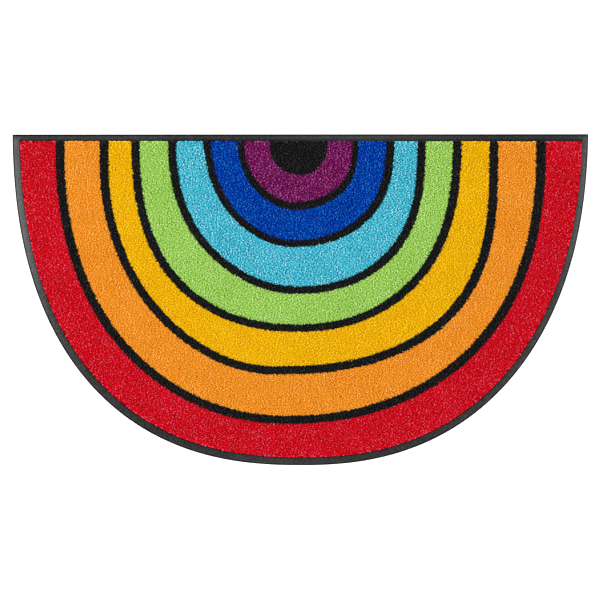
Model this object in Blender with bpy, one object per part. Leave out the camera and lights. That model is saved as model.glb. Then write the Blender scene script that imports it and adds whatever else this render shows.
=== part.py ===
"""A half-round rainbow doormat: a printed cut-pile carpet pressed into a rubber backing.

The mat lies flat. +X runs along its straight edge, +Y points at that edge and +Z is up. The
origin is on the floor under the middle of the mat's box. Lengths are in metres.
"""
import math
from collections import namedtuple

import bmesh
import bpy

MM = 0.001

# Heights above the floor
EDGE_HEIGHT = 0.8 * MM  # the rubber's outer edge, where its slope starts
BORDER_HEIGHT = 2.2 * MM  # the top of the bare rubber border
RECESS_FLOOR = 1.2 * MM  # the rubber left under the carpet
MAT_HEIGHT = 7.0 * MM  # the tips of the pile

# The mat seen from above
MAT_DEPTH = 488 * MM  # from the straight edge to the lowest point of the round one
TOP_BORDER = 10 * MM  # the rubber border along the straight edge
SLOPE_WIDTH = 8 * MM  # the slope down to the rubber's outer edge
CORNER_RADIUS = 5 * MM  # the carpet's two corners
SHOULDER_RADIUS = 1.5 * MM  # the pile's rounded shoulder
CLEARANCE = 0.3 * MM  # between the carpet and the rubber, under it and all round it
RAYS = 72  # steps round each half-round curve
CORNER_STEPS = 4
SHOULDER_STEPS = 2
SHARP_ANGLE = math.radians(40)
GRID_HALF = 0.5  # half the side of the unit grid that the printed carpet is laid out from

# A half-round curve that hangs from the straight edge, in millimetres.
# left, right: its reach to each side of the mat's middle line
# depth: how far below the straight edge it comes down
# lowest: how far right of the middle line its lowest point lies
# start: how far below the straight edge its sides begin to curve in
# squareness: 2 is an ellipse, and more is fuller at the shoulders
HalfRound = namedtuple(
    "HalfRound", "left right depth lowest start squareness_left squareness_right"
)
OUTLINE = HalfRound(425, 426, 488, 3, -27, 2.41, 2.31)
PILE_RIM = HalfRound(414, 416, 477, 4, -24, 2.40, 2.30)
BLACK_MIDDLE = HalfRound(46, 41, 60, 0, 6, 2.29, 2.21)

# Each colour's outer edge, and the black line round it at its left end, right end and lowest point
Band = namedtuple("Band", "colour edge line_left line_right line_below")
BANDS = (
    Band("purple", HalfRound(83, 77, 100, -12, 16, 1.81, 2.36), 10, 9, 11),
    Band("blue", HalfRound(132, 127, 156, -15, 12, 1.87, 2.37), 11, 12, 10),
    Band("light_blue", HalfRound(183, 173, 224, -7, 27, 1.96, 2.36), 12, 12, 11),
    Band("green", HalfRound(237, 225, 280, -4, 22, 2.31, 2.27), 12, 13, 11),
    Band("yellow", HalfRound(283, 279, 342, -42, 54, 1.90, 2.55), 13, 13, 12),
    Band("orange", HalfRound(348, 348, 415, -22, 34, 2.09, 2.24), 13, 14, 12),
)
OUTER_COLOUR = "red"

# Linear colours of the printed pile, and of the rubber
PILE_COLOURS = {
    "black": (0.011, 0.011, 0.012),
    "purple": (0.18, 0.016, 0.105),
    "blue": (0.003, 0.06, 0.38),
    "light_blue": (0.075, 0.49, 0.64),
    "green": (0.33, 0.6, 0.11),
    "yellow": (0.87, 0.45, 0.004),
    "orange": (0.88, 0.29, 0.025),
    "red": (0.6, 0.01, 0.025),
}
RUBBER_COLOUR = (0.045, 0.045, 0.047)
PILE_ROUGHNESS = 0.95
RUBBER_ROUGHNESS = 0.6


def clear_scene():
    for obj in list(bpy.data.objects):
        bpy.data.objects.remove(obj, do_unlink=True)


def new_collection(name, hidden=False):
    collection = bpy.data.collections.new(name)
    collection.hide_render = hidden
    bpy.context.scene.collection.children.link(collection)
    return collection


def new_material(name, colour, roughness):
    material = bpy.data.materials.new(name)
    material.use_nodes = True
    shader = material.node_tree.nodes["Principled BSDF"]
    shader.inputs["Base Color"].default_value = (*colour, 1)
    shader.inputs["Roughness"].default_value = roughness
    shader.inputs["Metallic"].default_value = 0
    material.diffuse_color = (*colour, 1)
    return material


def fullness(curve, across, down):
    """Under 1 inside the curve, 1 on it and more outside, for a place in millimetres."""
    side = across - curve.lowest
    if side < 0:
        reach, power = curve.left + curve.lowest, curve.squareness_left
    else:
        reach, power = curve.right - curve.lowest, curve.squareness_right
    fall = max(down - curve.start, 0) / (curve.depth - curve.start)
    return (abs(side) / reach) ** power + fall**power


def reach_along(curve, angle, from_down):
    """How far the curve lies from the middle line's point from_down, along one ray."""
    near, far = 0.0, 2.0 * curve.depth
    while far - near > 1e-5:
        middle = (near + far) / 2
        across = middle * math.cos(angle)
        down = from_down + middle * math.sin(angle)
        if fullness(curve, across, down) < 1:
            near = middle
        else:
            far = middle
    return near


def curve_places(curve, top):
    """The curve's places (x, y), from its right end to its left end on the line y = top."""
    from_down = (MAT_DEPTH / 2 - top) / MM
    places = []
    for step in range(RAYS + 1):
        angle = math.pi * step / RAYS
        reach = reach_along(curve, angle, from_down) * MM
        places.append((reach * math.cos(angle), top - reach * math.sin(angle)))
    return places


def grown(curve, by):
    """The same curve with its reaches and depth larger by a width in millimetres."""
    return curve._replace(left=curve.left + by, right=curve.right + by, depth=curve.depth + by)


def line_outside(band):
    """The outer edge of the black line round a colour."""
    edge = band.edge
    return edge._replace(
        left=edge.left + band.line_left,
        right=edge.right + band.line_right,
        depth=edge.depth + band.line_below,
    )


def printed_rows():
    """The printed edges from the black middle outwards, each with the colour outside it."""
    rows = []
    edge = BLACK_MIDDLE
    for band in BANDS:
        rows.append((edge, band.colour))
        rows.append((band.edge, "black"))
        edge = line_outside(band)
    rows.append((edge, OUTER_COLOUR))
    rows.append((PILE_RIM, None))
    return rows


def extrude_down(bm, thickness):
    """Turns an open sheet into a closed slab that is one flat face underneath."""
    rim = [edge for edge in bm.edges if edge.is_boundary]
    made = bmesh.ops.extrude_edge_only(bm, edges=rim)["geom"]
    verts = [item for item in made if isinstance(item, bmesh.types.BMVert)]
    bmesh.ops.translate(bm, verts=verts, vec=(0, 0, -thickness))
    bottom = [edge for edge in bm.edges if edge.is_boundary]
    bmesh.ops.contextual_create(bm, geom=bottom)
    bmesh.ops.recalc_face_normals(bm, faces=bm.faces)


def is_upright(edge):
    low, high = sorted(vert.co.z for vert in edge.verts)
    return high - low > CLEARANCE and edge.calc_length() - (high - low) < CLEARANCE


def round_corners(bm, radius):
    corners = [
        edge
        for edge in bm.edges
        if is_upright(edge) and edge.calc_face_angle() > SHARP_ANGLE
    ]
    bmesh.ops.bevel(
        bm,
        geom=corners,
        offset=radius,
        segments=CORNER_STEPS,
        profile=0.5,
        affect="EDGES",
        material=-1,
    )


def round_shoulder(bm, height):
    """Rounds the edge between the slab's top and its sides."""
    shoulder = [
        edge
        for edge in bm.edges
        if all(abs(vert.co.z - height) < CLEARANCE for vert in edge.verts)
        and edge.calc_face_angle() > SHARP_ANGLE
    ]
    bmesh.ops.bevel(
        bm,
        geom=shoulder,
        offset=SHOULDER_RADIUS,
        segments=SHOULDER_STEPS,
        profile=0.5,
        affect="EDGES",
        material=-1,
    )


def new_object(name, bm, collection, materials):
    mesh = bpy.data.meshes.new(name)
    bm.to_mesh(mesh)
    bm.free()
    for material in materials:
        mesh.materials.append(material)
    mesh.shade_smooth()
    mesh.set_sharp_from_angle(angle=SHARP_ANGLE)
    obj = bpy.data.objects.new(name, mesh)
    collection.objects.link(obj)
    return obj


def flat_face(bm, curve, top, height):
    verts = [bm.verts.new((x, y, height)) for x, y in curve_places(curve, top)]
    return bm.faces.new(reversed(verts))


def add_rubber_backing(collection):
    """The whole outline as a thin slab, sloped down at its edge."""
    bm = bmesh.new()
    face = flat_face(bm, OUTLINE, MAT_DEPTH / 2, EDGE_HEIGHT)
    extrude_down(bm, EDGE_HEIGHT)
    bmesh.ops.inset_region(
        bm,
        faces=[face],
        thickness=SLOPE_WIDTH,
        depth=BORDER_HEIGHT - EDGE_HEIGHT,
        use_boundary=True,
        use_even_offset=True,
    )
    rubber = new_material("rubber", RUBBER_COLOUR, RUBBER_ROUGHNESS)
    return new_object("rubber_backing", bm, collection, [rubber])


def add_recess_cutter(collection):
    """The carpet's footprint, a clearance larger all round, from the recess floor upwards."""
    bm = bmesh.new()
    top = MAT_DEPTH / 2 - TOP_BORDER + CLEARANCE
    flat_face(bm, grown(PILE_RIM, CLEARANCE / MM), top, MAT_HEIGHT)
    extrude_down(bm, MAT_HEIGHT - RECESS_FLOOR)
    round_corners(bm, CORNER_RADIUS + CLEARANCE)
    cutter = new_object("recess_cutter", bm, collection, [])
    cutter.hide_render = True
    cutter.display_type = "WIRE"
    return cutter


def cut_recess(backing, cutter):
    modifier = backing.modifiers.new("carpet_recess", "BOOLEAN")
    modifier.operation = "DIFFERENCE"
    modifier.solver = "EXACT"
    modifier.object = cutter


def add_pile_carpet(collection):
    """The carpet as one slab, with a strip of faces for each printed colour.

    A grid has a row of points for each printed edge and a column for each ray, and each point is
    moved to where its ray meets its edge.
    """
    rows = printed_rows()
    top = MAT_DEPTH / 2 - TOP_BORDER
    places = [curve_places(curve, top) for curve, _ in rows]
    names = list(PILE_COLOURS)
    steps = len(rows) - 1

    bm = bmesh.new()
    bmesh.ops.create_grid(bm, x_segments=RAYS, y_segments=steps, size=GRID_HALF)
    for face in bm.faces:
        row = int((face.calc_center_median().y + GRID_HALF) * steps)
        face.material_index = names.index(rows[row][1])
    inner = [edge for edge in bm.edges if all(vert.co.y == -GRID_HALF for vert in edge.verts)]
    for vert in bm.verts:
        ray = round((vert.co.x + GRID_HALF) * RAYS)
        row = round((vert.co.y + GRID_HALF) * steps)
        vert.co = (*places[row][ray], MAT_HEIGHT)
    for face in bmesh.ops.contextual_create(bm, geom=inner)["faces"]:
        face.material_index = names.index("black")

    extrude_down(bm, MAT_HEIGHT - RECESS_FLOOR - CLEARANCE)
    round_corners(bm, CORNER_RADIUS)
    round_shoulder(bm, MAT_HEIGHT)
    materials = [
        new_material(f"{name}_pile", colour, PILE_ROUGHNESS)
        for name, colour in PILE_COLOURS.items()
    ]
    return new_object("pile_carpet", bm, collection, materials)


def build_doormat():
    clear_scene()
    doormat = new_collection("doormat")
    cutters = new_collection("cutters", hidden=True)
    backing = add_rubber_backing(doormat)
    cut_recess(backing, add_recess_cutter(cutters))
    add_pile_carpet(doormat)


build_doormat()
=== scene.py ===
import math
from collections import namedtuple
from functools import partial

import bmesh
import bpy
import numpy as np
from mathutils import Matrix, Vector
from mathutils.kdtree import KDTree


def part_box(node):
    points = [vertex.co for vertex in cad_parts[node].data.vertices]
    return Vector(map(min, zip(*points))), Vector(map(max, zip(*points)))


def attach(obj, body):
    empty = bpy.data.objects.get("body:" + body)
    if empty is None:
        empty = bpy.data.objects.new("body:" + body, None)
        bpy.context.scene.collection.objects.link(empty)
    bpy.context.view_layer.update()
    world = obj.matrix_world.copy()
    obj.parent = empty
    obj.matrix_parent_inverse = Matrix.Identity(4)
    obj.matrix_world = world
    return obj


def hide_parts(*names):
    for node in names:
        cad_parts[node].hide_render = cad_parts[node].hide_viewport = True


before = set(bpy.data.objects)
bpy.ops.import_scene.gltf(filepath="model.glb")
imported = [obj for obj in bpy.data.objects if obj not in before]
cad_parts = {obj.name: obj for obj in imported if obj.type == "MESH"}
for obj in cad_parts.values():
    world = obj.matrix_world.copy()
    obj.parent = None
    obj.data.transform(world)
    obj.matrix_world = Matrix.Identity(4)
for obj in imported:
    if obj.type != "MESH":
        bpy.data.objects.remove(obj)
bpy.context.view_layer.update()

MM = 0.001
BODY = "root"
SEED = 7

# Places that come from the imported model
_, RUBBER_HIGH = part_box("rubber_backing")
CARPET_LOW, CARPET_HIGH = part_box("pile_carpet")
DOOR_EDGE = RUBBER_HIGH.y  # the mat's straight edge
BORDER_HEIGHT = RUBBER_HIGH.z
CARPET_TOP_EDGE = CARPET_HIGH.y  # the carpet's straight edge
CARPET_FLOOR = CARPET_LOW.z
PILE_HEIGHT = CARPET_HIGH.z

# A half-round curve that hangs from the straight edge, in millimetres.
# left, right: its reach to each side of the mat's middle line
# depth: how far below the straight edge it comes down
# lowest: how far right of the middle line its lowest point lies
# start: how far below the straight edge its sides begin to curve in
# squareness: 2 is an ellipse, and more is fuller at the shoulders
HalfRound = namedtuple(
    "HalfRound", "left right depth lowest start squareness_left squareness_right"
)
OUTLINE = HalfRound(425, 426, 488, 3, -27, 2.41, 2.31)
PILE_RIM = HalfRound(414, 416, 477, 4, -24, 2.40, 2.30)
BLACK_MIDDLE = HalfRound(46, 41, 60, 0, 6, 2.29, 2.21)

# Each colour's outer edge, and the black line round it at its left end, right end and lowest point
Band = namedtuple("Band", "colour edge line_left line_right line_below")
BANDS = (
    Band("purple", HalfRound(83, 77, 100, -12, 16, 1.81, 2.36), 10, 9, 11),
    Band("blue", HalfRound(132, 127, 156, -15, 12, 1.87, 2.37), 11, 12, 10),
    Band("light_blue", HalfRound(183, 173, 224, -7, 27, 1.96, 2.36), 12, 12, 11),
    Band("green", HalfRound(237, 225, 280, -4, 22, 2.31, 2.27), 12, 13, 11),
    Band("yellow", HalfRound(283, 279, 342, -42, 54, 1.90, 2.55), 13, 13, 12),
    Band("orange", HalfRound(348, 348, 415, -22, 34, 2.09, 2.24), 13, 14, 12),
)
OUTER_COLOUR = "red"

# The dyes. colour: of a fibre with the usual depth of dye, linear
# spread: how many times deeper the dye is in a yarn one step above the usual
Dye = namedtuple("Dye", "colour spread")
DYES = {
    "black": Dye((0.0071, 0.0073, 0.0074), 1.28),
    "purple": Dye((0.1420, 0.0040, 0.0732), 1.69),
    "blue": Dye((0.0001, 0.0332, 0.3216), 1.60),
    "light_blue": Dye((0.0405, 0.4224, 0.5411), 1.98),
    "green": Dye((0.2918, 0.5145, 0.0837), 1.66),
    "yellow": Dye((0.6932, 0.3917, 0.0006), 1.56),
    "orange": Dye((0.6916, 0.2561, 0.0131), 1.47),
    "red": Dye((0.5090, 0.0018, 0.0077), 1.63),
}
NEXT_DOOR = 0.3  # how far a yarn's neighbours push its depth of dye the other way
PALEST, DEEPEST = -2.0, 1.6  # the steps of dye that no yarn goes past
CLUMP_STEPS = 1.2  # from the palest to the deepest clump of fibres in a yarn
CLOUD_STEPS = 0.6  # from the palest to the deepest part of a band

# The printed edges, in millimetres
INK_SPREAD = 0.3  # how far the black has crept into the colours
INK_STRAY = 0.55  # how far a yarn's dye strays from the print's edge
PRINT_WAVER = 0.62  # how far the print's lines waver together
WAVERS = 7.5  # how often they do so in a full turn about the middle of the straight edge

# How far the pieces lie turned, in degrees anticlockwise
RUBBER_TURN = 0.035
CARPET_TURN = -0.045

# Steps in the curves
RIM_RAYS = 360  # round the carpet's cut edge and round the rubber
BED_RAYS = 180  # round each printed edge of the bed
DOOR_STEPS = 90  # along the rubber's straight edge
CORNER_STEPS = 6
HALVINGS = 40  # of a ray, to find where it meets a curve

# The carpet's bed
CORNER_RADIUS = 5 * MM  # the carpet's two corners
CORNER_ZONE = 0.9  # the share of the carpet's reach that the corners lie beyond
BED_HEIGHT = PILE_HEIGHT - 1.7 * MM  # where the yarns stand too close to tell apart
BED_INSET = 1.3 * MM  # from the carpet's cut edge to the bed's side, among the rim's yarns
GRID_HALF = 0.5  # half the side of the unit grid that the bed is laid out from

# The open pile
YARN_PITCH = 1.7 * MM
ROW_PITCH = YARN_PITCH * math.sqrt(3) / 2
STITCH_PITCH = YARN_PITCH * 2 / math.sqrt(3)  # every other row starts half a stitch along
PLACE_WANDER = 0.35  # how far a yarn end strays from its place, as a share of the pitch
ROW_CRAMP = 0.85  # what the rows beside it leave of a yarn end's width
YARN_SIDES = 5

# The pile's rim
RIM_PITCH = 1.9 * MM
RIM_INSET = 1.5 * MM  # from the carpet's cut edge to its outermost row of yarns
RIM_STRAY = 0.1 * MM  # how far a yarn strays from that row
RIM_CLEAR = 2.5 * MM  # from the cut edge to the first of the other rows
RIM_PROBE = 1 * MM  # the step along the cut edge at which that is measured
BEND_RINGS = (0.45, 0.88)  # where a rim yarn bends, as shares of its height
CAP_RING = 0.96  # where its tip is already narrower
CAP_WIDTH = 0.78  # how wide it is from there on, as a share of its full width
RING_SLACK = 0.01  # a ring of points lies this close to its height, or closer
RIM_RADIUS = 0.85 * MM  # at a rim yarn's root
RIM_FLARE = 0.25 * MM  # how much thicker it is where its fibres open

# A yarn end's own square of the flat map: its sides as seen from above, and its foot beside them
SIDES_MIDDLE, SIDES_REACH = 0.47, 0.46
FOOT_MIDDLE, FOOT_REACH = 0.93, 0.05
FACES_DOWN = -0.9  # a foot's normal points lower than this

# How fine the finishes' grain is, in features to the metre, roughly
FIBRE_GRAIN = 2600
FIBRE_STRETCH = 0.3  # fibres are longer than they are wide
CLUMP_CELLS = 1200
DYE_CLOUDS = 22
BED_GRAIN = 1500
RUBBER_MOTTLE = 700
RUBBER_LUMPS = 620
RUBBER_PATCHES = 60
# Long stretches of painted light, shade and sheen round the rubber's border
PAINTED_LIGHT_WAVES = 3
PAINTED_LIGHT_SHIFT = (9.3, 19.55, 7.79)  # where the border's painted light and shade, its lighter and darker stretches, come to lie
PAINTED_LIGHT_MEAN = 0.53  # their usual level round the border
PRESS_CLOTH = ((45, 210), (-45, 160))  # the cloth's two sets of threads: degrees turned, grain


class Wire:
    """A shader socket, with Python's operators as Math nodes."""

    def __init__(self, nodes, socket):
        self.nodes = nodes
        self.socket = socket

    def maths(self, operation, *values):
        return self.nodes.node(
            "ShaderNodeMath", {"operation": operation}, dict(enumerate(values))
        )

    def __add__(self, other):
        return self.maths("ADD", self, other)

    def __sub__(self, other):
        return self.maths("SUBTRACT", self, other)

    def __rsub__(self, other):
        return self.maths("SUBTRACT", other, self)

    def __mul__(self, other):
        return self.maths("MULTIPLY", self, other)

    def __rpow__(self, other):
        return self.maths("POWER", other, self)

    __radd__ = __add__
    __rmul__ = __mul__

    def at_least(self, lowest):
        return self.maths("MAXIMUM", self, lowest)

    def from_to(self, low, high):
        """The value low where this one is 0, and high where it is 1."""
        return low + (high - low) * self


class Nodes:
    """A node tree under construction."""

    def __init__(self, tree):
        self.tree = tree

    def join(self, socket, value):
        if isinstance(value, Wire):
            self.tree.links.new(value.socket, socket)
        else:
            socket.default_value = value

    def node(self, kind, settings=None, inputs=None, output=0):
        """Adds a node, sets its settings and then its sockets, and returns one of its outputs."""
        made = self.tree.nodes.new(kind)
        for name, value in (settings or {}).items():
            setattr(made, name, value)
        for name, value in (inputs or {}).items():
            self.join(made.inputs[name], value)
        return Wire(self, made.outputs[output])


class Paint(Nodes):
    """A material under construction: one Principled shader and the nodes that feed it."""

    def __init__(self, name, **fixed):
        self.material = bpy.data.materials.new(name)
        self.material.use_nodes = True
        super().__init__(self.material.node_tree)
        self.shader = self.tree.nodes["Principled BSDF"]
        self.feed(**fixed)

    def feed(self, **sockets):
        """Sets or links the shader's sockets, named with _ for a space."""
        for name, value in sockets.items():
            self.join(self.shader.inputs[name.replace("_", " ")], value)

    def place(self, scale=(1, 1, 1), turn=0, shift=(0, 0, 0)):
        """Object coordinates, scaled, turned by some degrees about Z and shifted."""
        spot = self.node("ShaderNodeTexCoord", output="Object")
        turns = (0, 0, math.radians(turn))
        return self.node(
            "ShaderNodeMapping",
            inputs={"Vector": spot, "Scale": scale, "Rotation": turns, "Location": shift},
        )

    def noise(self, vector, scale, detail=2, roughness=0.5):
        return self.node(
            "ShaderNodeTexNoise",
            inputs={"Vector": vector, "Scale": scale, "Detail": detail, "Roughness": roughness},
        )

    def cells(self, vector, scale):
        """A random level for each small cell of space."""
        cell = self.node(
            "ShaderNodeTexVoronoi", inputs={"Vector": vector, "Scale": scale}, output="Color"
        )
        return self.node("ShaderNodeSeparateXYZ", inputs={"Vector": cell}, output="X")

    def threads(self, turn, scale):
        """Soft bands side by side, turned by some degrees about Z."""
        return self.node(
            "ShaderNodeTexWave",
            {"wave_type": "BANDS", "bands_direction": "X"},
            {"Vector": self.place(turn=turn), "Scale": scale, "Distortion": 0.4},
            output="Fac",
        )

    def dyed(self, dye, depth):
        """A dye's colour at some depth: a fibre that took up more of it is darker and purer."""
        return self.node("ShaderNodeGamma", inputs={"Color": opaque(dye.colour), "Gamma": depth})

    def scaled(self, colour, factor):
        return self.node(
            "ShaderNodeVectorMath", {"operation": "SCALE"}, {0: colour, "Scale": factor}
        )

    def bump(self, height, strength, distance):
        return self.node(
            "ShaderNodeBump", inputs={"Height": height, "Strength": strength, "Distance": distance}
        )


def opaque(colour):
    return (*colour, 1)


def pile_paint(name, dye):
    """Cut nylon yarn, with the dye uneven from yarn to yarn and along the fibres."""
    paint = Paint(f"{name}_pile", Specular_IOR_Level=0.0)
    spot = paint.place()
    shade = paint.node("ShaderNodeAttribute", {"attribute_name": "yarn_shade"}, output="Fac")
    fibres = paint.noise(paint.place(scale=(1, 1, FIBRE_STRETCH)), FIBRE_GRAIN, detail=1)
    clumps = paint.cells(spot, CLUMP_CELLS)
    cloud = paint.noise(spot, DYE_CLOUDS, detail=3)
    steps = shade + CLUMP_STEPS * (clumps - 0.5) + CLOUD_STEPS * (cloud - 0.5)
    paint.feed(
        Base_Color=paint.scaled(paint.dyed(dye, dye.spread**steps), fibres.from_to(0.95, 1.05)),
        Roughness=fibres.from_to(0.75, 0.95),
        Normal=paint.bump(fibres, strength=0.4, distance=0.15 * MM),
    )
    return paint.material


def bed_paint(name, dye):
    """The pile between the yarn tips, its colour darkened by painted shade where less light reaches."""
    paint = Paint(f"{name}_bed", Specular_IOR_Level=0.1)
    fibres = paint.noise(paint.place(), BED_GRAIN)
    # painted shade between the yarn tips
    painted_shade = fibres.from_to(0.6, 0.9)
    paint.feed(
        Base_Color=paint.scaled(paint.dyed(dye, fibres.from_to(0.9, 1.2)), painted_shade),
        Roughness=fibres.from_to(0.85, 0.95),
        Normal=paint.bump(fibres, strength=0.5, distance=0.2 * MM),
    )
    return paint.material


def rubber_paint(name, colour, roughness, gloss):
    """Moulded rubber with the fine diagonal grain of the cloth that it was pressed against.

    Half of its gloss is even. The other half is in the coat, which is speckled by the rubber's
    fine lumps and rises and falls in long stretches of painted sheen round the border. Its colour
    is lightened and darkened along the same stretches as painted light and shade.
    """
    paint = Paint(name, Specular_IOR_Level=gloss / 2, Coat_Roughness=roughness)
    spot = paint.place()
    threads, picks = (paint.threads(turn, scale) for turn, scale in PRESS_CLOTH)
    mottle = paint.noise(spot, RUBBER_MOTTLE, roughness=0.6)
    patches = paint.noise(spot, RUBBER_PATCHES, detail=3)
    # Long stretches of painted light, shade and sheen round the border
    painted_light_waves = paint.noise(paint.place(shift=PAINTED_LIGHT_SHIFT), PAINTED_LIGHT_WAVES, detail=1) - PAINTED_LIGHT_MEAN
    lumps = paint.cells(spot, RUBBER_LUMPS) - 0.5
    grain = threads * 0.6 + picks * 0.4
    # Own tone from lumps, grain and patches, with painted light and shade round the border
    light = 0.8 + 0.9 * lumps + 0.1 * grain + 0.4 * patches + 3 * painted_light_waves
    # Gloss speckled by the lumps, with painted sheen round the border
    gloss_and_painted_sheen = gloss * (1 + 1.4 * lumps + 3.3 * painted_light_waves)
    paint.feed(
        Base_Color=paint.scaled(colour, light.at_least(0.1)),
        Roughness=roughness + 0.3 * (patches - 0.5),
        Coat_Weight=gloss_and_painted_sheen.at_least(0),
        Normal=paint.bump(grain * 0.3 + mottle, strength=1, distance=0.06 * MM),
    )
    return paint.material


def fullness(curve, across, down):
    """Under 1 inside the curve and more outside, for places in millimetres."""
    side = across - curve.lowest
    reach = np.where(side < 0, curve.left + curve.lowest, curve.right - curve.lowest)
    power = np.where(side < 0, curve.squareness_left, curve.squareness_right)
    fall = np.maximum(down - curve.start, 0) / (curve.depth - curve.start)
    return (np.abs(side) / reach) ** power + fall**power


def curve_places(curve, top, rays):
    """The curve's places (x, y), from its right end to its left end on the line y = top."""
    angles = np.linspace(0, math.pi, rays + 1)
    below_edge = (DOOR_EDGE - top) / MM
    near, far = np.zeros(rays + 1), np.full(rays + 1, 2.0 * curve.depth)
    for _ in range(HALVINGS):
        middle = (near + far) / 2
        inside = fullness(curve, middle * np.cos(angles), below_edge + middle * np.sin(angles)) < 1
        near = np.where(inside, middle, near)
        far = np.where(inside, far, middle)
    return np.stack([near * MM * np.cos(angles), top - near * MM * np.sin(angles)], 1)


def grown(curve, by):
    """The curve, a little larger or smaller all round."""
    return curve._replace(left=curve.left + by, right=curve.right + by, depth=curve.depth + by)


def line_outside(band):
    """The outer edge of the black line round a colour."""
    edge = band.edge
    return edge._replace(
        left=edge.left + band.line_left,
        right=edge.right + band.line_right,
        depth=edge.depth + band.line_below,
    )


def printed_rows():
    """The printed edges from the black middle outwards, each with the colour outside it."""
    rows = []
    edge = BLACK_MIDDLE
    for band in BANDS:
        rows.append((edge, band.colour))
        rows.append((band.edge, "black"))
        edge = line_outside(band)
    rows.append((edge, OUTER_COLOUR))
    return rows


def dye_at(places, draw):
    """The number in DYES of the colour that the yarn at each place took up."""
    names = list(DYES)
    stray = draw.normal(0, INK_STRAY, places.shape)
    across = places[:, 0] / MM + stray[:, 0]
    down = (DOOR_EDGE - places[:, 1]) / MM + stray[:, 1]
    waver = PRINT_WAVER * np.cos(WAVERS * np.arctan2(across, down))
    pull = 1 - waver / np.hypot(across, down)
    across, down = across * pull, down * pull
    dye = np.full(len(places), names.index("black"))
    for curve, colour_outside in printed_rows():
        creep = INK_SPREAD if colour_outside != "black" else -INK_SPREAD
        inked = grown(curve, creep)
        dye[fullness(inked, across, down) >= 1] = names.index(colour_outside)
    return dye


def new_object(name, mesh, materials):
    """A piece of the mat, with the materials that it takes its finish from."""
    for material in materials:
        mesh.materials.append(material)
    obj = bpy.data.objects.new(name, mesh)
    bpy.context.scene.collection.objects.link(obj)
    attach(obj, BODY)
    return obj


def lay(mesh, turn):
    """Turns a piece by some degrees where it lies, for no mat is laid or pressed quite straight."""
    mesh.transform(Matrix.Rotation(math.radians(turn), 4, "Z"))


def mesh_of(name, bm):
    mesh = bpy.data.meshes.new(name)
    bm.to_mesh(mesh)
    bm.free()
    return mesh


def round_corners(bm, corners):
    """Rounds the carpet's two corners, which are points of an open flat face."""
    bmesh.ops.bevel(
        bm,
        geom=corners,
        offset=CORNER_RADIUS,
        segments=CORNER_STEPS,
        profile=0.5,
        affect="VERTICES",
        material=-1,
    )


def carpet_loop():
    """The carpet's cut edge as a closed run of places, with its two corners rounded."""
    bm = bmesh.new()
    places = curve_places(PILE_RIM, CARPET_TOP_EDGE, RIM_RAYS)
    verts = [bm.verts.new((x, y, 0)) for x, y in places]
    bm.faces.new(reversed(verts))
    round_corners(bm, [verts[0], verts[-1]])
    (face,) = bm.faces
    rounded = np.array([vert.co.xy for vert in face.verts])
    bm.free()
    return rounded


def even_steps(loop, pitch):
    """Places at an even pitch along a closed loop, each with the direction that points outwards."""
    ends = np.vstack([loop, loop[:1]])
    along = np.concatenate([[0], np.cumsum(np.linalg.norm(np.diff(ends, axis=0), axis=1))])
    count = round(along[-1] / pitch)
    at = np.arange(count) * along[-1] / count

    def read(distance):
        distance = distance % along[-1]
        return np.stack([np.interp(distance, along, ends[:, k]) for k in (0, 1)], 1)

    places = read(at)
    heading = read(at + pitch / 2) - read(at - pitch / 2)
    heading /= np.linalg.norm(heading, axis=1, keepdims=True)
    outward = np.stack([-heading[:, 1], heading[:, 0]], 1)
    if (outward * (places - loop.mean(0))).sum() < 0:
        outward = -outward
    return places, outward


def distances_to(loop_places, places):
    """How far each place is from the nearest one on a loop."""
    tree = KDTree(len(loop_places))
    for number, (x, y) in enumerate(loop_places):
        tree.insert((x, y, 0), number)
    tree.balance()
    return np.array([tree.find((x, y, 0))[2] for x, y in places])


def uneven_shades(shape, draw):
    """Steps of dye about the usual on a grid of stitches, with neighbours seldom alike."""
    own = draw.normal(0, 1, shape)
    around = sum(np.roll(own, step, axis) for axis in (0, 1) for step in (-1, 1))
    uneven = own - NEXT_DOOR * around
    return np.clip(uneven / uneven.std(), PALEST, DEEPEST)


def rim_roots(loop, draw):
    """Where the rim's yarn ends stand, each with its way outwards."""
    edge, outward = even_steps(loop, RIM_PITCH)
    inset = RIM_INSET + draw.normal(0, RIM_STRAY, (len(edge), 1))
    return edge - outward * inset, outward


def open_roots(loop, draw):
    """Where all the other yarn ends lie, each with its steps of dye."""
    rows = np.arange(CARPET_LOW.y, CARPET_HIGH.y, ROW_PITCH)
    stitches = np.arange(CARPET_LOW.x, CARPET_HIGH.x, STITCH_PITCH)
    x, y = np.meshgrid(stitches, rows)
    x[1::2] += STITCH_PITCH / 2
    shade = uneven_shades(x.shape, draw).ravel()
    roots = np.stack([x.ravel(), y.ravel()], 1)
    roots += draw.uniform(-1, 1, roots.shape) * PLACE_WANDER * YARN_PITCH
    across, down = roots[:, 0] / MM, (DOOR_EDGE - roots[:, 1]) / MM
    kept = (fullness(PILE_RIM, across, down) < 1) & (roots[:, 1] < CARPET_TOP_EDGE)
    roots, shade = roots[kept], shade[kept]
    edge, _ = even_steps(loop, RIM_PROBE)
    kept = distances_to(edge, roots) > RIM_CLEAR
    return roots[kept], shade[kept]


# One yarn end. points: in its own unit space; triangles: of their numbers; flat: its flat map
YarnShape = namedtuple("YarnShape", "points triangles flat")


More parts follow.
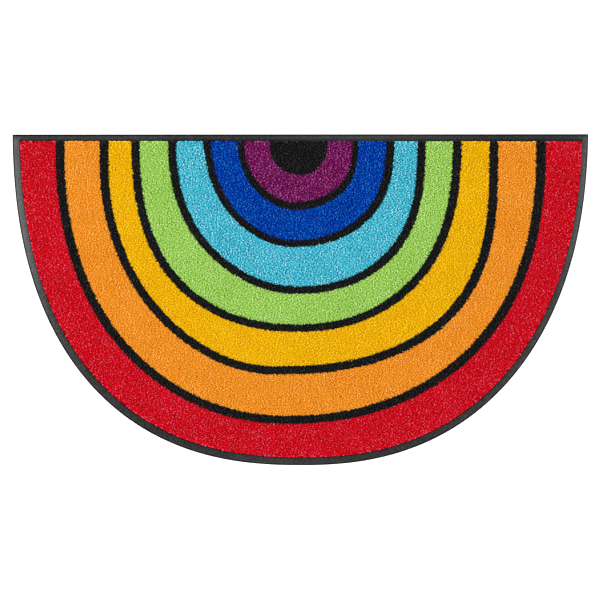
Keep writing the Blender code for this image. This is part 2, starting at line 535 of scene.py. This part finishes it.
def yarn_shape(rings):
    """A pointed yarn end from root (z = 0) to tip (z = 1), cut at some heights so that it can bend."""
    bm = bmesh.new()
    bmesh.ops.create_cone(bm, cap_ends=True, segments=YARN_SIDES, radius1=1, radius2=0, depth=1)
    bmesh.ops.translate(bm, verts=bm.verts, vec=(0, 0, 0.5))
    for height in rings:
        everything = bm.verts[:] + bm.edges[:] + bm.faces[:]
        bmesh.ops.bisect_plane(bm, geom=everything, plane_co=(0, 0, height), plane_no=(0, 0, 1))
    bmesh.ops.triangulate(bm, faces=bm.faces)
    bm.verts.index_update()
    points = np.array([vert.co for vert in bm.verts])
    triangles, flat = [], []
    for face in bm.faces:
        is_foot = face.normal.z < FACES_DOWN
        middle = FOOT_MIDDLE if is_foot else SIDES_MIDDLE
        triangles.append([vert.index for vert in face.verts])
        for vert in face.verts:
            reach = FOOT_REACH if is_foot else SIDES_REACH * (1 - vert.co.z)
            flat.append(Vector((middle, middle)) + vert.co.xy.normalized() * reach)
    bm.free()
    return YarnShape(points, np.array(triangles), np.array(flat))


def one_each(draw, count, low, high):
    """A random number for each of many yarn ends, as a column."""
    return draw.uniform(low, high, (count, 1))


def turned(x, y, angle):
    """Places turned about the origin."""
    return x * np.cos(angle) - y * np.sin(angle), x * np.sin(angle) + y * np.cos(angle)


def lying_ends(roots, points, draw):
    """Yarn ends of the open pile: only their bent tips stand out of the bed."""
    between = partial(one_each, draw, len(roots))
    length = between(1.1, 1.9) * MM
    width = between(0.75, 1.0) * MM
    lean_along = between(-0.7, 0.7)
    lean_across = between(-0.3, 0.3)
    foot = BED_HEIGHT + between(-0.1, 0.4) * MM
    tilt = between(-0.25, 0.25)
    top = PILE_HEIGHT - between(0.05, 0.75) * MM
    turn = between(0, 2 * math.pi)

    x, y, z = points.T[:, None, :]
    x = (x + z * lean_along) * length
    y = (y + z * lean_across) * width
    low = foot + tilt * x
    height = low + z * (top - low)
    x, y = turned(x, y, turn)
    return np.stack([x + roots[:, :1], y * ROW_CRAMP + roots[:, 1:], height], 2)


def standing_ends(roots, outward, points, draw):
    """Yarn ends of the rim, which show from root to tip."""
    between = partial(one_each, draw, len(roots))
    wide = between(0.95, 1.25)
    narrow = between(0.85, 1.0)
    turn = between(0, 2 * math.pi)
    bend = between(-0.1, 0.9) * MM
    top = PILE_HEIGHT - between(0.1, 0.8) * MM
    sway = between(-0.5, 0.5) * MM

    x, y, z = points.T[:, None, :]
    from_axis = np.hypot(x, y)
    radius = (RIM_RADIUS + RIM_FLARE * z) * np.where(z > CAP_RING - RING_SLACK, CAP_WIDTH, 1)
    swell = np.divide(radius, from_axis, out=np.zeros_like(radius), where=from_axis > 0)
    x, y = turned(x * swell * wide, y * swell * narrow, turn)
    bend, sway = bend * z**2, sway * z
    x = x + roots[:, :1] + outward[:, :1] * bend - outward[:, 1:] * sway
    y = y + roots[:, 1:] + outward[:, 1:] * bend + outward[:, :1] * sway
    return np.stack([x, y, CARPET_FLOOR + z * (top - CARPET_FLOOR)], 2)


# Many yarn ends of one shape. places: of every point of every yarn; shades: their steps of dye
Yarns = namedtuple("Yarns", "places shape shades")


def joined_yarns(name, kinds):
    """Yarn ends of some kinds as one mesh, each with its own square of the flat map."""
    cells = math.ceil(math.sqrt(sum(len(yarns.places) for yarns in kinds)))
    points, corners, flats, shades = [], [], [], []
    first_point = first_cell = 0
    for yarns in kinds:
        count, per_yarn = yarns.places.shape[:2]
        points.append(yarns.places.reshape(-1, 3))
        starts = first_point + np.arange(count) * per_yarn
        corners.append((yarns.shape.triangles[None] + starts[:, None, None]).ravel())
        number = first_cell + np.arange(count)
        cell = np.stack([number % cells, number // cells], 1)
        flats.append(((cell[:, None] + yarns.shape.flat[None]) / cells).reshape(-1, 2))
        shades.append(np.repeat(yarns.shades, per_yarn))
        first_point += count * per_yarn
        first_cell += count
    points, corners = np.concatenate(points), np.concatenate(corners)
    mesh = bpy.data.meshes.new(name)
    mesh.vertices.add(len(points))
    mesh.vertices.foreach_set("co", points.ravel())
    mesh.loops.add(len(corners))
    mesh.loops.foreach_set("vertex_index", corners)
    mesh.polygons.add(len(corners) // 3)
    mesh.polygons.foreach_set("loop_start", np.arange(0, len(corners), 3))
    mesh.update(calc_edges=True)
    mesh.shade_smooth()
    shade = mesh.attributes.new("yarn_shade", "FLOAT", "POINT")
    shade.data.foreach_set("value", np.concatenate(shades))
    layer = mesh.uv_layers.new(name="OFBake")
    layer.uv.foreach_set("vector", np.concatenate(flats).ravel())
    return mesh


def pieces_of(name):
    """The pieces that a dye's pile is made in, each with the stretch from left to right that it fills."""
    if name == OUTER_COLOUR:
        return {f"{name}_left_pile": (-math.inf, 0), f"{name}_right_pile": (0, math.inf)}
    return {f"{name}_pile": (-math.inf, math.inf)}


def add_pile():
    """All the yarn ends, with a piece for each dye and two for the outer one."""
    draw = np.random.default_rng(SEED)
    loop = carpet_loop()
    rim, outward = rim_roots(loop, draw)
    inner, inner_shade = open_roots(loop, draw)
    rim_shade = np.clip(draw.normal(0, 1, len(rim)), PALEST, DEEPEST)
    rim_dye, inner_dye = dye_at(rim, draw), dye_at(inner, draw)
    low, tall = yarn_shape(()), yarn_shape((*BEND_RINGS, CAP_RING))
    for number, (name, dye) in enumerate(DYES.items()):
        paint = pile_paint(name, dye)
        for piece_name, (left, right) in pieces_of(name).items():
            lies = (inner_dye == number) & (inner[:, 0] >= left) & (inner[:, 0] < right)
            stands = (rim_dye == number) & (rim[:, 0] >= left) & (rim[:, 0] < right)
            kinds = [Yarns(lying_ends(inner[lies], low.points, draw), low, inner_shade[lies])]
            if stands.any():
                places = standing_ends(rim[stands], outward[stands], tall.points, draw)
                kinds.append(Yarns(places, tall, rim_shade[stands]))
            mesh = joined_yarns(piece_name, kinds)
            lay(mesh, CARPET_TURN)
            piece = new_object(piece_name, mesh, [paint])
            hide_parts("pile_carpet")


def printed_bed():
    """The bed's top as an open flat face for each printed colour.

    A grid has a row of points for each printed edge and a column for each ray, and each point is
    moved to where its ray meets its edge.
    """
    rows = [*printed_rows(), (grown(PILE_RIM, -BED_INSET / MM), None)]
    names = list(DYES)
    steps = len(rows) - 1
    places = [curve_places(curve, CARPET_TOP_EDGE - BED_INSET, BED_RAYS) for curve, _ in rows]
    bm = bmesh.new()
    bmesh.ops.create_grid(bm, x_segments=BED_RAYS, y_segments=steps, size=GRID_HALF)
    for face in bm.faces:
        row = int((face.calc_center_median().y + GRID_HALF) * steps)
        face.material_index = names.index(rows[row][1])
    inner = [edge for edge in bm.edges if all(vert.co.y == -GRID_HALF for vert in edge.verts)]
    for vert in bm.verts:
        ray = round((vert.co.x + GRID_HALF) * BED_RAYS)
        row = round((vert.co.y + GRID_HALF) * steps)
        vert.co = (*places[row][ray], BED_HEIGHT)
    for face in bmesh.ops.contextual_create(bm, geom=inner)["faces"]:
        face.material_index = names.index("black")
    corners = [
        vert
        for vert in bm.verts
        if len(vert.link_edges) == 2 and abs(vert.co.x) > CORNER_ZONE * CARPET_HIGH.x
    ]
    round_corners(bm, corners)
    bmesh.ops.recalc_face_normals(bm, faces=bm.faces)
    return bm


def add_pile_bed():
    """The printed carpet under the yarn tips, as one sheet."""
    bm = printed_bed()
    area = sum(face.calc_area() for face in bm.faces)
    mesh = mesh_of("pile_bed", bm)
    lay(mesh, CARPET_TURN)
    paints = [bed_paint(name, dye) for name, dye in DYES.items()]
    piece = new_object("pile_bed", mesh, paints)
    solid = piece.modifiers.new("thickness", "SOLIDIFY")
    solid.thickness = BED_HEIGHT - CARPET_FLOOR
    solid.offset = -1
    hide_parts("pile_carpet")


# How far the rubber is pressed past its outline
SPREAD_LEFT = 0.1 * MM
SPREAD_RIGHT = -0.2 * MM
SPREAD_BELOW = 0.7 * MM
SPREAD_DOOR = 0.2 * MM

# How far outside the carpet's cut edge the foot of the lip lies, where painted shade shows dark beside
# the pile
FOOT_BELOW = 0.7 * MM
FOOT_DOOR = 2.3 * MM

# The rubber's section, from its outer edge to the foot of its lip.
# share: of the way across the round border; door: of the way across the straight one
# height: above the floor, in millimetres
Step = namedtuple("Step", "share door height")
RUBBER_SECTION = (
    Step(0.000, 0.00, 0.00),
    Step(0.000, 0.00, 0.12),
    Step(0.020, 0.03, 0.25),
    Step(0.140, 0.24, 0.44),
    Step(0.175, 0.29, 0.48),
    Step(0.205, 0.33, 0.56),
    Step(0.900, 0.90, 2.15),
    Step(0.940, 0.94, 2.17),
    Step(0.965, 0.965, 2.19),
    Step(0.985, 0.985, 1.95),
    Step(1.000, 1.00, 1.20),
)
CUT_EDGE = 0.17  # faces that start at a smaller share are the bevelled cut edge, painted dark as shade
LIP_CREST = 0.96  # faces that start at a larger share are the foot, painted dark as the pile's shade
SHARP_ANGLE = math.radians(40)

# The rubber's finishes: name, linear colour, roughness and gloss
Finish = namedtuple("Finish", "name colour roughness gloss")
MOULDED = Finish("moulded_rubber", (0.0068, 0.0068, 0.0066), 0.43, 0.40)
# The bevelled cut edge: painted shade, darker and less glossy than the moulded rubber
CUT = Finish("edge_painted_shade", (0.004, 0.004, 0.004), 0.8, 0.06)
# The lip's foot and the recess: painted shade, matte so that it shows dark beside the pile
FOOT = Finish("foot_painted_shade", (0.0115, 0.0130, 0.0138), 0.8, 0.06)
FINISHES = (MOULDED, CUT, FOOT)


def finish_at(share):
    """The number in FINISHES of the faces that start at a step of the section."""
    if share < CUT_EDGE:
        return FINISHES.index(CUT)
    return FINISHES.index(FOOT if share > LIP_CREST else MOULDED)


def rubber_ring(bm, step):
    """A closed ring of edges, part of the way from the rubber's edge to the foot of its lip."""
    cut = OUTLINE._replace(
        left=OUTLINE.left + SPREAD_LEFT / MM,
        right=OUTLINE.right + SPREAD_RIGHT / MM,
        depth=OUTLINE.depth + SPREAD_BELOW / MM,
    )
    foot = PILE_RIM._replace(depth=PILE_RIM.depth + FOOT_BELOW / MM)
    curve = HalfRound(*(outer + step.share * (inner - outer) for outer, inner in zip(cut, foot)))
    door_edge, door_foot = DOOR_EDGE + SPREAD_DOOR, CARPET_TOP_EDGE + FOOT_DOOR
    arc = curve_places(curve, door_edge + step.door * (door_foot - door_edge), RIM_RAYS)
    straight = np.linspace(arc[-1], arc[0], DOOR_STEPS + 1)[1:-1]
    places = np.vstack([arc, straight])
    verts = bmesh.ops.create_circle(bm, segments=len(places))["verts"]
    for vert, (x, y) in zip(verts, places):
        vert.co = (x, y, step.height * MM)
    return list({edge for vert in verts for edge in vert.link_edges})


def add_rubber_mat():
    """The rubber sheet with its moulded border, and a shallow recess for the carpet."""
    bm = bmesh.new()
    rings = [rubber_ring(bm, step) for step in RUBBER_SECTION]
    for step, outer, inner in zip(RUBBER_SECTION, rings, rings[1:]):
        for face in bmesh.ops.bridge_loops(bm, edges=outer + inner)["faces"]:
            face.material_index = finish_at(step.share)
    for ring, finish in ((rings[0], MOULDED), (rings[-1], FOOT)):
        for face in bmesh.ops.contextual_create(bm, geom=ring)["faces"]:
            face.material_index = FINISHES.index(finish)
    bmesh.ops.recalc_face_normals(bm, faces=bm.faces)
    mesh = mesh_of("rubber_mat", bm)
    mesh.shade_smooth()
    mesh.set_sharp_from_angle(angle=SHARP_ANGLE)
    lay(mesh, RUBBER_TURN)
    paints = [rubber_paint(*finish) for finish in FINISHES]
    piece = new_object("rubber_mat", mesh, paints)
    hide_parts("rubber_backing")


# The floor
FLOOR_HALF = 6.0  # half its side
FLOOR_DROP = 0.3 * MM  # keeps the floor and the mat's underside apart
FLOOR_WHITE = (0.93, 0.93, 0.93)


def add_floor():
    """A plain white floor just under the mat."""
    bm = bmesh.new()
    bmesh.ops.create_grid(bm, x_segments=1, y_segments=1, size=FLOOR_HALF)
    bmesh.ops.translate(bm, verts=bm.verts, vec=(0, 0, -FLOOR_DROP))
    white = Paint("studio_white", Base_Color=opaque(FLOOR_WHITE), Roughness=0.9)
    floor = bpy.data.objects.new("studio_floor", mesh_of("studio_floor", bm))
    floor.data.materials.append(white.material)
    bpy.context.scene.collection.objects.link(floor)


# Soft lamps aimed at the mat.
# around: degrees anticlockwise from the mat's right; up: degrees above the floor
# width, height: in metres; power: in watts
Lamp = namedtuple("Lamp", "name around up width height power")
LAMPS = (
    Lamp("left_softbox", 171, 42, 6.0, 3.6, 525),
    Lamp("right_softbox", 3, 43, 6.0, 3.6, 305),
    Lamp("room_softbox", -100, 35, 3.0, 2.0, 38),
)
LAMP_DISTANCE = 5.0  # from the middle of the mat
SKY_LIGHT = 0.17  # what the room sends down on the mat
BACKDROP_LIGHT = 1.0  # what is seen of it past the floor's edge


def add_softbox(lamp):
    """A soft lamp that faces the middle of the mat."""
    data = bpy.data.lights.new(lamp.name, "AREA")
    data.shape = "RECTANGLE"
    data.size, data.size_y = lamp.width, lamp.height
    data.energy = lamp.power
    around, up = math.radians(lamp.around), math.radians(lamp.up)
    outwards = math.cos(up)
    place = Vector((outwards * math.cos(around), outwards * math.sin(around), math.sin(up)))
    light = bpy.data.objects.new(lamp.name, data)
    light.location = place * LAMP_DISTANCE
    light.rotation_euler = (-place).to_track_quat("-Z", "Y").to_euler()
    bpy.context.scene.collection.objects.link(light)


def add_studio():
    """Soft light from the sides and a little from above, before a white backdrop."""
    scene = bpy.context.scene
    world = bpy.data.worlds.new("studio")
    world.use_nodes = True
    sky = world.node_tree.nodes["Background"]
    nodes = Nodes(world.node_tree)
    seen = nodes.node("ShaderNodeLightPath", output="Is Camera Ray")
    nodes.join(sky.inputs["Color"], opaque((1, 1, 1)))
    nodes.join(sky.inputs["Strength"], seen.from_to(SKY_LIGHT, BACKDROP_LIGHT))
    scene.world = world
    for lamp in LAMPS:
        add_softbox(lamp)
    scene.view_settings.view_transform = "Standard"


# The photograph: millimetres of mat per pixel, and the camera's place over the mat's border
PICTURE_SIDE_PX = 600
MM_PER_PX = 1.4765
CAMERA_HEIGHT = 6.0
CAMERA_ACROSS = -0.3 * MM
CAMERA_UP = -0.58 * MM
SIGHT = 20.0  # how far the camera sees


def add_camera():
    """The camera, which looks straight down as in the photograph."""
    data = bpy.data.cameras.new("overhead")
    seen = PICTURE_SIDE_PX * MM_PER_PX * MM
    data.lens = data.sensor_width * CAMERA_HEIGHT / seen
    data.clip_end = SIGHT
    camera = bpy.data.objects.new("overhead", data)
    camera.location = (CAMERA_ACROSS, CAMERA_UP, CAMERA_HEIGHT + BORDER_HEIGHT)
    bpy.context.scene.collection.objects.link(camera)
    bpy.context.scene.camera = camera


add_camera()
add_studio()
add_floor()
add_rubber_mat()
add_pile_bed()
add_pile()
